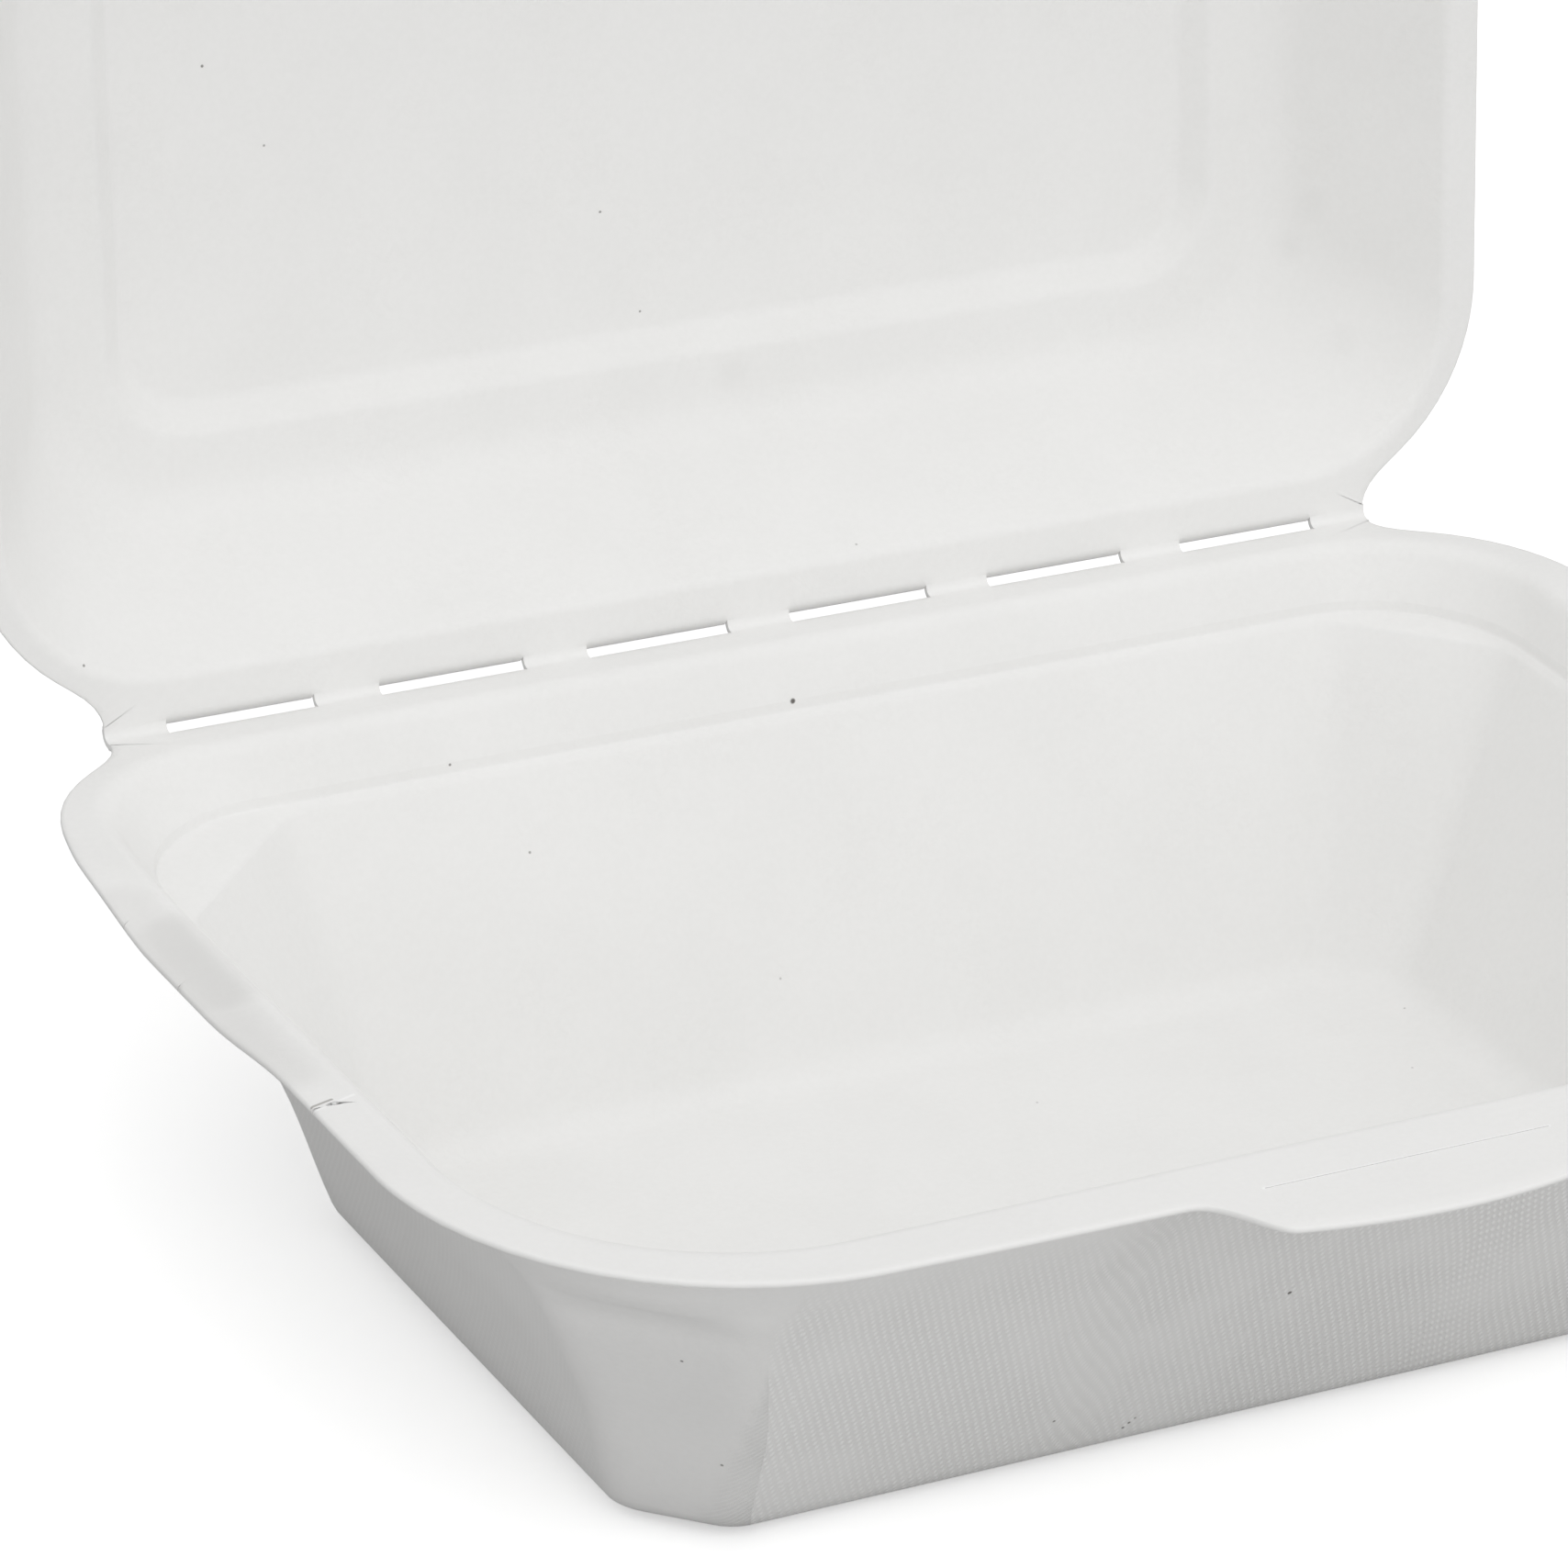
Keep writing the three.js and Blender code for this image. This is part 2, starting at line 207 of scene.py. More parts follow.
def left_edge(notched):
    """Y, inward step and slant of each point down the left side. A notch is a V of three points."""
    rows = [(y, 0.0, 0.0) for y in np.linspace(high_y, low_y, 33)[1:-1]]
    if notched:
        for y, deep, wide, slant in NOTCHES:
            rows = [row for row in rows if abs(row[0] - y) > NOTCH_CLEAR]
            rows += [(y + step, 0, 0) for step in (1.0, wide / 2, -wide / 2, -1.0)]
            rows.append((y, deep, slant))
    return np.array(sorted(rows, reverse=True))


# %% The whole outline, and the same stations as shares of each side
def along(points, shares):
    """Points at shares of the length of a line."""
    steps = np.r_[0, np.cumsum(np.linalg.norm(np.diff(points, axis=0), axis=1))]
    return np.stack([np.interp(shares * steps[-1], steps, points[:, k]) for k in (0, 1)], 1)


def rear_corner_line():
    """From the right side round to the fold line: an arc, then a hollow flare into the hinge."""
    cx = half_length - REAR_CORNER_R
    arc = [(cx + REAR_CORNER_R * math.cos(a), high_y + REAR_CORNER_R * math.sin(a))
           for a in np.linspace(0, np.pi / 4, 24)]
    flare = bezier([arc[-1], np.array(arc[-1]) + (-3.4, 3.4),
                    (half_hinge + 0.9, -HINGE_STRIP - 3.2), (half_hinge, -HINGE_STRIP)], 16)[1:]
    return np.array([*arc, *flare, (half_hinge, -LAND_SETBACK)])


def rim_outline(front, left, rear_edge):
    """Outline anticlockwise from the front left, and where its points lie along each side."""
    right_ys = np.linspace(low_y, high_y, 27)[1:-1]
    front_turn = np.array((half_length, -RIM_DEPTH)) + corner(FRONT_CORNER_R, FRONT_CORNER_R)
    rear_turn = along(rear_corner_line(), CORNER_SHARES)
    left_points = np.stack([-half_length + left[:, 1], left[:, 0] + left[:, 2]], 1)
    outline = np.concatenate([front, front_turn, np.stack([np.full_like(right_ys, half_length), right_ys], 1),
                              rear_turn, rear_edge, rear_turn[::-1] * (-1, 1), left_points,
                              front_turn[::-1] * (-1, 1)])
    reach = np.r_[0, np.cumsum(np.abs(np.diff(front[:, 0])) + 0.2 * np.abs(np.diff(front[:, 1])))]
    end = reach[-1] / 2 * straight / front[-1, 0]
    span = high_y - low_y
    sides = {"front": (reach - reach[-1] / 2) / end, "right": (right_ys - high_y) / span,
             "rear": rear_edge[:, 0] / half_hinge, "left": (left[:, 0] - high_y) / span}
    return outline, sides


# %% [markdown]
# In section the board goes from the rim over a small round into the cup. Only the food side is written
# down. The other side is the same line moved by the board's thickness, square to the line, so the
# wall stays equally thick round every bend, as a pressed sheet does.

# %% Section lines
def rounded(points, pitch=2.6):
    """Line through [inward, down, radius] points, with true arcs and even straight runs."""
    line = [np.array(points[0][:2], float)]
    for index in range(1, len(points)):
        here = np.array(points[index][:2], float)
        before = here - np.array(points[index - 1][:2], float)
        before /= np.linalg.norm(before)
        if index == len(points) - 1 or not points[index][2]:
            stop, arc = here, []
        else:
            after = np.array(points[index + 1][:2], float) - here
            after /= np.linalg.norm(after)
            turn = math.atan2(before[0] * after[1] - before[1] * after[0], before @ after)
            radius = points[index][2]
            reach = radius * math.tan(abs(turn) / 2)
            stop = here - before * reach
            side = np.array([-before[1], before[0]]) * np.sign(turn)
            count = max(3, round(abs(turn) / 0.16))
            arc = [stop + radius * (before * math.sin(a) + side * (1 - math.cos(a)))
                   for a in np.linspace(0, abs(turn), count + 1)[1:]]
        run = np.linalg.norm(stop - line[-1])
        count = max(1, math.ceil(run / pitch))
        line += [line[-1] + (stop - line[-1]) * k / count for k in range(1, count + 1)]
        line += arc
    return np.array(line)


def other_side(line, wall, start, end):
    """The line moved by the board. Between two depths it runs smoothly past small steps."""
    step = np.gradient(line, axis=0)
    step /= np.linalg.norm(step, axis=1)[:, None]
    outer = line + wall * np.stack([-step[:, 1], step[:, 0]], 1)
    eased = (outer[:, 1] > start) & (outer[:, 1] < end)
    for _ in range(40):
        outer[eased] = ((np.roll(outer, 1, 0) + np.roll(outer, -1, 0)) / 2)[eased]
        nearest = np.interp(outer[:, 1], line[:, 1], line[:, 0]) - 0.6 * wall
        outer[eased, 0] = np.minimum(outer[eased, 0], nearest[eased])
    return outer


# %% Sizes of the tray's cup
TRAY_WALL = 0.72
TRAY_SIDE_RIM, TRAY_FRONT_RIM, TRAY_REAR_RIM = 6.2, 7.3, 5.7
COLLAR_LEAN, COLLAR_DROP, LEDGE_WIDTH, LEDGE_DROP, TRAY_WALL_LEAN = 2.6, 7.0, 1.0, 0.5, 17.1
tray_reach = COLLAR_LEAN + LEDGE_WIDTH + TRAY_WALL_LEAN
tray_section = rounded([
    (-1.6, 0, 0), (0, 0, 2.2), (COLLAR_LEAN - 0.15, COLLAR_DROP - 1.2, 0.9), (COLLAR_LEAN, COLLAR_DROP, 0.4),
    (COLLAR_LEAN + LEDGE_WIDTH, COLLAR_DROP + LEDGE_DROP, 1.4),
    (tray_reach, TRAY_HEIGHT - TRAY_WALL, 5), (tray_reach + 4.2, TRAY_HEIGHT - TRAY_WALL, 0)])
LEFT_BOW = 2.3
MOUTH_FRONT_R, COLLAR_FRONT_R, MOUTH_REAR_R, WALL_EDGE, FLOOR_EDGE = 30, 22, 18, 6.0, 5.0


def tray_ring(inward, outset, sides):
    """The mouth has round corners, which turn into slanting flats below. The left wall bows inward."""
    collar = np.clip(inward / COLLAR_LEAN, 0, 1)
    ledge = np.clip((inward - COLLAR_LEAN) / LEDGE_WIDTH, 0, 1)
    wall = np.clip((inward - COLLAR_LEAN - LEDGE_WIDTH) / TRAY_WALL_LEAN, 0, 1)

    def flat(mouth, top, floor):
        reach = mouth + (top + (floor - top) * wall - mouth) * ledge
        return reach, reach + (WALL_EDGE + (FLOOR_EDGE - WALL_EDGE) * wall - reach) * ledge

    front = flat(MOUTH_FRONT_R + (COLLAR_FRONT_R - MOUTH_FRONT_R) * collar, 17.5, 10.3)
    bow = LEFT_BOW * smooth(inward, 0, COLLAR_LEAN + LEDGE_WIDTH) * (1 - 0.85 * smooth(wall, 0.5, 1))
    half = half_length - TRAY_SIDE_RIM - inward + outset
    return plan_ring(bow - half, half, -TRAY_REAR_RIM - inward + outset,
                     -RIM_DEPTH + TRAY_FRONT_RIM + inward - outset,
                     (front, flat(MOUTH_REAR_R, 16.5, 9.0), flat(MOUTH_REAR_R, 22.0, 10.5), front), sides)


# %% Sizes of the lid's cup
LID_WALL = 0.49
LID_SIDE_RIM, LID_REAR_RIM, LID_FRONT_RIM = 4.1, 5.7, 6.0
LID_WALL_LEAN, LID_WALL_RISE, LID_SHOULDER_WIDTH, LID_PANEL_LEAN, LID_PANEL_RISE = 11.8, 18.6, 8.2, 2.8, 2.8
LID_REAR_R, LID_FRONT_R, LID_WALL_R, LID_PANEL_R = 18, 31, 15, 8
lid_shoulder = LID_WALL_LEAN + LID_SHOULDER_WIDTH
lid_reach = lid_shoulder + LID_PANEL_LEAN
lid_section = rounded([
    (-1.05, 0, 0), (0, 0, 1.4), (LID_WALL_LEAN, LID_WALL_RISE, 6), (lid_shoulder, LID_WALL_RISE, 1.6),
    (lid_reach, LID_WALL_RISE + LID_PANEL_RISE, 1.8), (lid_reach + 3, LID_WALL_RISE + LID_PANEL_RISE, 0)])


def lid_ring(inward, outset, sides):
    """The lid's corners stay round all the way and become tighter towards the panel."""
    wall = np.clip(inward / LID_WALL_LEAN, 0, 1)
    panel = np.clip((inward - LID_WALL_LEAN) / (LID_SHOULDER_WIDTH + LID_PANEL_LEAN), 0, 1)
    rear = LID_REAR_R + (LID_WALL_R - LID_REAR_R) * wall + (LID_PANEL_R - LID_WALL_R) * panel
    front = LID_FRONT_R + (LID_WALL_R - LID_FRONT_R) * wall + (LID_PANEL_R - LID_WALL_R) * panel
    half = half_length - LID_SIDE_RIM - inward + outset
    return plan_ring(-half, half, -LID_REAR_RIM - inward + outset,
                     -RIM_DEPTH + LID_FRONT_RIM + inward - outset,
                     ((front, front), (rear, rear), (rear, rear), (front, front)), sides)


print("section points: tray", len(tray_section), "lid", len(lid_section))

# %% [markdown]
# One half of the box is one closed skin. Its rows of points start in the middle of the food side,
# run out over the rim, turn round the edge of the board, and come back on the outer side. The edge is
# rounded where it is free and square where a land of the fold joins it, so that the joint is flush.

# %% One half of the box as rows of points
RIM_SHARES = (0.12, 0.3, 0.5, 0.62, 0.8)
FLOOR_SHARES = (0.12, 0.26, 0.42, 0.58, 0.74, 0.88, 0.98)
SLIT_ROWS = (2, 3)
EDGE_STEP, RIM_START, FOLD_BASE = 0.07, 0.3, LAND_SETBACK + 0.35


def side_rows(mouth, outline, wall, lower, free, forced, roll):
    """Rows of one side of the rim, from the edge in to the mouth. A rolled edge lies further back."""
    inward = mouth - outline
    inward = inward / np.linalg.norm(inward, axis=1)[:, None]
    on_fold = (outline[:, 1:] > -LAND_SETBACK - 0.05) & (np.abs(outline[:, :1]) < half_hinge + 0.1)
    inward = np.where(on_fold, (0.0, -1.0), inward)
    base = outline + inward * RIM_START
    base[:, 1:] = np.where(on_fold, -FOLD_BASE, base[:, 1:])
    into, drop = (0.0, wall * 0.15) if lower == 0 else (wall, wall * 0.85)
    edge = [(outline + inward * EDGE_STEP * free, np.where(free > 0, drop, into) + roll),
            (base, np.full_like(free, into) + roll * 0.12)]
    rows = []
    for number, share in enumerate(RIM_SHARES):
        place = base + (mouth - base) * share
        if number in SLIT_ROWS:
            target = SLIT_Y + (SLIT_WIDTH / 2 if number == SLIT_ROWS[1] else -SLIT_WIDTH / 2)
            place[:, 1] += (target - place[:, 1]) * forced
        rows.append((place, np.full_like(free, into)))
    return edge, rows


def half_rows(section, ring, outline, sides, wall, forced, eased, roll):
    """All rows, from the middle of the food side to the middle of the outer side."""
    mouth = ring(section[0, 0], 0, sides)
    on_land = (np.abs(outline[:, 1] + LAND_SETBACK) < 0.01) & (np.abs(outline[:, 0]) < half_hinge + 0.1)
    free = np.where(on_land, 0.0, 1.0)[:, None]
    roll = roll * (outline[:, 1:] > -0.45) * (np.abs(outline[:, :1]) < half_hinge)
    rows = []
    for lower, line in ((0, section), (1, other_side(section, wall, *eased))):
        cup = [(ring(at, at - x, sides), np.full_like(free, depth))
               for (at, _), (x, depth) in zip(section, line)]
        last = cup[-1][0]
        middle_y = (last[:, 1].max() + last[:, 1].min()) / 2
        heart = np.stack([last[:, 0] * 0.36, np.full(len(last), middle_y)], 1)
        floor = [(last + (heart - last) * k, cup[-1][1]) for k in FLOOR_SHARES]
        edge, rim = side_rows(mouth, outline, wall, lower, free, forced, roll)
        inward_run = [*edge, *rim, *cup, *floor]
        middle_row = (outline, np.full_like(free, wall / 2) + roll)
        rows += inward_run[::-1] if lower == 0 else [middle_row, *inward_run]
    return rows


# %% The rows become a mesh, with a map for the screen marks
WRAP, UV_SCALE = 840.0, 100.0


def side_measure(points, sides):
    """How far round the box each point lies, measured along the side that it is on."""
    counts = [len(sides["front"]), len(CORNER_SHARES), len(sides["right"]), len(CORNER_SHARES),
              len(sides["rear"]), len(CORNER_SHARES), len(sides["left"]), len(CORNER_SHARES)]
    cuts = np.cumsum([0, *counts])
    measure = np.zeros(len(points))
    x, y = points[:, 0], points[:, 1]
    for number, values in ((0, x), (2, 200 + y), (4, 300 - x), (6, 500 - y)):
        measure[cuts[number]:cuts[number + 1]] = values[cuts[number]:cuts[number + 1]]
    for number, base_a, base_b in ((1, x, 200 + y), (3, 200 + y, 300 - x), (5, 300 - x, 500 - y),
                                   (7, 500 - y, WRAP + x)):
        a, b = cuts[number], cuts[number + 1]
        measure[a:b] = base_a[a] + (base_b[b - 1] - base_a[a]) * CORNER_SHARES
    corner_mask = np.zeros(len(points))
    for number in (1, 3, 5, 7):
        corner_mask[cuts[number]:cuts[number + 1]] = np.sin(np.pi * CORNER_SHARES) ** 0.5
    return measure, corner_mask


def slit_walls(slit, count):
    """Faces through the board, from the slit's rim on the food side to its rim on the outer side."""
    first, last = slit["from"], slit["to"]
    top, low = slit["levels"]

    def rim(near, far):
        return ([near * count + k for k in range(first, last + 1)]
                + [far * count + k for k in range(last, first - 1, -1)])

    upper, under = rim(top, top + 1), rim(low + 1, low)
    upper_next, under_next = upper[1:] + upper[:1], under[1:] + under[:1]
    return list(zip(under, under_next, upper_next, upper))


# %% Building the skin
def half_mesh(name, rows, sides, slit, face_up):
    """The closed skin, and for each point its side of the board, nearness to a corner and distance in."""
    count, levels = len(rows[0][0]), len(rows)
    middle = levels // 2
    points = np.array([np.column_stack([place, depth]) for place, depth in rows])
    steps = np.linalg.norm(np.diff(points, axis=0), axis=2)
    down = np.concatenate([np.zeros((1, count)), np.cumsum(steps, axis=0)])
    from_edge = np.abs(down - down[middle])
    measures = [side_measure(row[:, :2], sides) for row in points]
    around, corners = (np.array(part) for part in zip(*measures))
    quads = [(level, column) for level in range(levels - 1) for column in range(count)
             if not (slit and level in slit["levels"] and slit["from"] <= column < slit["to"])]
    row, column = np.array(quads).T
    beside = (column + 1) % count
    places = ((row, column), (row + 1, column), (row + 1, beside), (row, beside))
    wrap = np.where(beside == 0, WRAP, 0.0)
    ids = np.stack([level * count + at for level, at in places], 1)
    u = np.stack([around[level, at] + (wrap if at is beside else 0) for level, at in places], 1)
    v = np.stack([from_edge[level, at] for level, at in places], 1)
    middle_loop = list(range(count))
    outer_loop = [(levels - 1) * count + k for k in reversed(range(count))]
    if not face_up:
        ids, u, v = ids[:, ::-1], u[:, ::-1], v[:, ::-1]
        middle_loop, outer_loop = middle_loop[::-1], outer_loop[::-1]
    faces = [*map(tuple, ids.tolist()), middle_loop, outer_loop]
    if slit:
        faces += slit_walls(slit, count)
    mesh = bpy.data.meshes.new(name)
    mesh.from_pydata(points.reshape(-1, 3).tolist(), [], faces)
    coords = np.zeros((len(mesh.loops), 2), np.float32)
    coords[:u.size] = np.stack([u.reshape(-1), v.reshape(-1)], 1) / UV_SCALE
    mesh.uv_layers.new(name="screen").data.foreach_set("uv", coords.ravel())
    outside = np.clip((np.repeat(np.arange(levels), count) - middle) / 3.0, 0, 1)
    return mesh, outside, corners.ravel(), from_edge.ravel()


# %% [markdown]
# The screen that drains the wet pulp leaves its weave on the outer side only. It is strongest low on
# the front and right walls and fades under the rim, round the corners and on the left wall. That
# strength is kept as a number on each point, which the material reads later for the weave's bumps and
# for its painted shade in the pits and painted highlight on the crests.

# %% Strength of the screen marks
IMPRINT_START, IMPRINT_FULL = 13, 26


def store_imprint(mesh, outside, corner_mask, from_edge, face_factor):
    """Keeps the weave's strength on the points, from 0 on the food side to 1 low on a wall."""
    strength = outside * smooth(from_edge, IMPRINT_START, IMPRINT_FULL)
    strength *= (1 - 0.8 * corner_mask) * face_factor
    layer = mesh.attributes.new("imprint", "FLOAT", "POINT")
    layer.data.foreach_set("value", strength.astype(np.float32))
    print(mesh.name, "points", len(mesh.vertices), "faces", len(mesh.polygons))


def points_of(mesh):
    """The places of a mesh's points, in the unit that they were made in."""
    return np.array([v.co for v in mesh.vertices], float)


def set_points(mesh, points):
    """Puts the points of a mesh at new places."""
    mesh.vertices.foreach_set("co", points.astype(np.float32).ravel())
    mesh.update()


# %% The tray's skin
tray_front = front_edge(tab_half())
tray_outline, tray_sides = rim_outline(tray_front, left_edge(True), fold_edge(TRAY_SLOT_INSET))
tab_share = np.zeros((len(tray_outline), 1))
tab_share[:len(tray_front), 0] = 1 - smooth(np.abs(tray_front[:, 0]), 18, 26)
tray_rows = half_rows(tray_section, tray_ring, tray_outline, tray_sides, TRAY_WALL, tab_share[:, 0],
                      (1.2, 15.0), 0.0)
in_slit = [k for k in range(len(tray_front)) if abs(tray_front[k, 0]) <= SLIT_HALF]
edge_level = len(tray_rows) // 2
face_slit = edge_level - 2 - SLIT_ROWS[1] - 1
back_slit = edge_level + 2 + SLIT_ROWS[0] + 1
slit = {"from": in_slit[0], "to": in_slit[-1], "levels": (face_slit, back_slit)}
tray_mesh, tray_out, tray_corner, tray_far = half_mesh("tray_board", tray_rows, tray_sides, slit, True)
local_x = points_of(tray_mesh)[:, 0]
face_factor = np.where(local_x < -half_length + 32, 0.35, 1.0) * (0.75 + 0.25 * smooth(local_x, -60, 60))
store_imprint(tray_mesh, tray_out, tray_corner, tray_far, face_factor)

# %% The lid's skin
lid_front = front_edge(tongue_half())
lid_outline, lid_sides = rim_outline(lid_front, left_edge(False), fold_edge(LID_SLOT_INSET))
lid_rows = half_rows(lid_section, lid_ring, lid_outline, lid_sides, LID_WALL, np.zeros(len(lid_outline)),
                     (99.0, 99.0), 0.3)
lid_mesh, lid_out, lid_corner, lid_far = half_mesh("lid_board", lid_rows, lid_sides, None, False)
store_imprint(lid_mesh, lid_out, lid_corner, lid_far, 0.8)

# %% [markdown]
# The left rim was pressed down a little where it is cracked, so the board there dips towards its edge.
# Its small creases are not shaped: the material paints shade over the dip, and pale lines of painted
# highlight along the creases and tears. Moving the points of both sides of the board together keeps its
# thickness.

# %% The bent stretch of the left rim
RIM_DIP, CORNER_SHIFT = 1.7, 0.95


def bend_left_rim(points):
    """Dips the left rim, and pulls its rear end inward where the corner is worn."""
    x, y = points[:, 0], points[:, 1]
    stretch = smooth(y, -80, -60) * (1 - smooth(y, -46, -30))
    points[:, 2] += smooth(-x, 84.0, 92.6) * RIM_DIP * stretch
    points[:, 0] += CORNER_SHIFT * smooth(-x, 78, 88) * np.exp(-((y + 21.5) / 7.5) ** 2)
    return points


tray_points = bend_left_rim(points_of(tray_mesh))
tray_points[:, 2] = TRAY_HEIGHT - tray_points[:, 2]
tray_points[:, 1] += HINGE_Y
set_points(tray_mesh, tray_points * MM)
lid_points = points_of(lid_mesh)
lid_points[:, 2] += FOLD_GAP / 2
set_points(lid_mesh, lid_points * MM)

# %% [markdown]
# Pressed pulp is never quite true. A Geometry Nodes tree moves every point by slow noise, the same
# on both sides of the board, and lets go near the fold line, where the lands have to meet the rims.
# Its sizes are inputs of the tree, so the same tree serves the tray and the lid.

# %% Helpers for node trees
def tree_inputs(tree, wanted):
    """Adds named inputs to a Geometry Nodes tree and returns their identifiers."""
    ids = {}
    for label, kind, value in wanted:
        socket = tree.interface.new_socket(label, in_out="INPUT", socket_type=kind)
        if value is not None:
            socket.default_value = value
        ids[label] = socket.identifier
    return ids


class Tree:
    """Adds a node with its settings first and then the values or links of its sockets."""

    def __init__(self, tree):
        self.tree = tree

    def add(self, kind, settings=None, **sockets):
        node = self.tree.nodes.new(kind)
        for key, value in (settings or {}).items():
            setattr(node, key, value)
        for key, value in sockets.items():
            name = key.replace("_", " ")
            socket = node.inputs[int(key[1:])] if key[0] == "i" and key[1:].isdigit() else node.inputs[name]
            if isinstance(value, bpy.types.NodeSocket):
                self.tree.links.new(value, socket)
            else:
                socket.default_value = value
        return node


def plain_mesh(obj, name):
    """The evaluated result of an object's modifiers as a mesh of its own."""
    depsgraph = bpy.context.evaluated_depsgraph_get()
    mesh = bpy.data.meshes.new_from_object(obj.evaluated_get(depsgraph))
    mesh.name = name
    return mesh


# %% The tree that makes pressed pulp a little uneven
def unevenness_tree(name, material):
    """Geometry Nodes that shift points by slow noise, except near the fold line."""
    tree = bpy.data.node_groups.new(name, "GeometryNodeTree")
    ids = tree_inputs(tree, [
        ("Geometry", "NodeSocketGeometry", None), ("Amount", "NodeSocketFloat", 0.0001),
        ("Waves per metre", "NodeSocketFloat", 12.0), ("Fold line", "NodeSocketVector", None),
        ("Quiet distance", "NodeSocketFloat", 0.006), ("Seed", "NodeSocketFloat", 1.0)])
    tree.interface.new_socket("Geometry", in_out="OUTPUT", socket_type="NodeSocketGeometry")
    t = Tree(tree)
    given = tree.nodes.new("NodeGroupInput").outputs
    place = t.add("GeometryNodeInputPosition").outputs[0]
    noise = t.add("ShaderNodeTexNoise", {"noise_dimensions": "4D"}, Vector=place, W=given["Seed"],
                  Scale=given["Waves per metre"], Detail=1.0, Roughness=0.4).outputs["Color"]
    minus = {"operation": "SUBTRACT"}
    centred = t.add("ShaderNodeVectorMath", minus, i0=noise, i1=(0.5, 0.5, 0.5)).outputs[0]
    apart = t.add("ShaderNodeVectorMath", minus, i0=place, i1=given["Fold line"]).outputs[0]
    only_y = t.add("ShaderNodeSeparateXYZ", None, Vector=apart).outputs["Y"]
    distance = t.add("ShaderNodeMath", {"operation": "ABSOLUTE"}, i0=only_y).outputs[0]
    share = t.add("ShaderNodeMapRange", {"interpolation_type": "SMOOTHSTEP"}, Value=distance,
                  From_Min=0.0015, From_Max=given["Quiet distance"], To_Max=given["Amount"]).outputs[0]
    step = t.add("ShaderNodeVectorMath", {"operation": "SCALE"}, i0=centred, Scale=share).outputs[0]
    moved = t.add("GeometryNodeSetPosition", None, Geometry=given["Geometry"], Offset=step).outputs[0]
    real = t.add("GeometryNodeRealizeInstances", None, Geometry=moved).outputs[0]
    done = t.add("GeometryNodeSetMaterial", None, Geometry=real, Material=material).outputs[0]
    t.add("NodeGroupOutput", None, Geometry=done)
    return tree, ids


def warped(mesh, name, material, values):
    """Runs the tree on a mesh and returns a finished object at the origin."""
    tree, ids = unevenness_tree(name + "_unevenness", material)
    source = bpy.data.objects.new(name + "_source", mesh)
    bpy.context.collection.objects.link(source)
    modifier = source.modifiers.new("uneven", "NODES")
    modifier.node_group = tree
    for label, value in values.items():
        modifier[ids[label]] = value
    result = plain_mesh(source, name)
    bpy.data.objects.remove(source)
    obj = bpy.data.objects.new(name, result)
    bpy.context.collection.objects.link(obj)
    return obj


# %% [markdown]
# Pulp is matt, slightly warm white and fine-grained. The material keeps one colour and lets a few
# things vary: clouds where the pulp settled thicker, fine fibres, painted shade in the weave's pits and
# painted highlight on its crests, painted shade on the bent rim and in the tear, painted highlight on
# torn and cut edges, and the few dark specks that recycled fibre brings. Shader maths is written as
# expressions through a small class, so that a formula reads as one.

# %% A wire that does arithmetic
class Wire:
    """Wraps a value socket, so that an expression on wires adds the Math nodes for it."""

    def __init__(self, shader, socket):
        self.shader, self.socket = shader, socket

    def _with(self, operation, first, second=None):
        sockets = {"i0": first.socket if isinstance(first, Wire) else first}
        if second is not None:
            sockets["i1"] = second.socket if isinstance(second, Wire) else second
        node = self.shader.add("ShaderNodeMath", {"operation": operation}, **sockets)
        return Wire(self.shader, node.outputs[0])

    def __add__(self, other):
        return self._with("ADD", self, other)

    def __radd__(self, other):
        return self._with("ADD", other, self)

    def __sub__(self, other):
        return self._with("SUBTRACT", self, other)

    def __rsub__(self, other):
        return self._with("SUBTRACT", other, self)

    def __mul__(self, other):
        return self._with("MULTIPLY", self, other)

    def __rmul__(self, other):
        return self._with("MULTIPLY", other, self)

    def __pow__(self, other):
        return self._with("POWER", self, other)

    def do(self, operation, other=None):
        return self._with(operation, self, other)

    def between(self, start, end):
        """0 below start and 1 above end, smoothly."""
        node = self.shader.add("ShaderNodeMapRange", {"interpolation_type": "SMOOTHSTEP"},
                               Value=self.socket, From_Min=start, From_Max=end)
        return Wire(self.shader, node.outputs[0])


# %% Colours and pitch of the pulp's marks
SCREEN_PITCH, SCREEN_ROW = 0.95, 0.75
PULP = (0.875, 0.872, 0.862, 1.0)
PULP_SHADE = (0.825, 0.822, 0.81, 1.0)
SPECK = (0.16, 0.15, 0.14, 1.0)
# Painted shade for the inside of the tear.
CRACK_PAINTED_SHADE = (0.42, 0.41, 0.39, 1.0)
# Painted highlight for raised torn and cut edges.
TORN_EDGE_PAINTED_HIGHLIGHT = (0.96, 0.96, 0.955, 1.0)
# Painted shade for the dipped stretch of the left rim.
BENT_RIM_PAINTED_SHADE = (0.66, 0.655, 0.64, 1.0)
# Painted shade for the weave's pits and painted highlight for its crests.
WEAVE_PIT_PAINTED_SHADE, WEAVE_CREST_PAINTED_HIGHLIGHT = (0.70, 0.695, 0.685, 1.0), (0.95, 0.948, 0.94, 1.0)

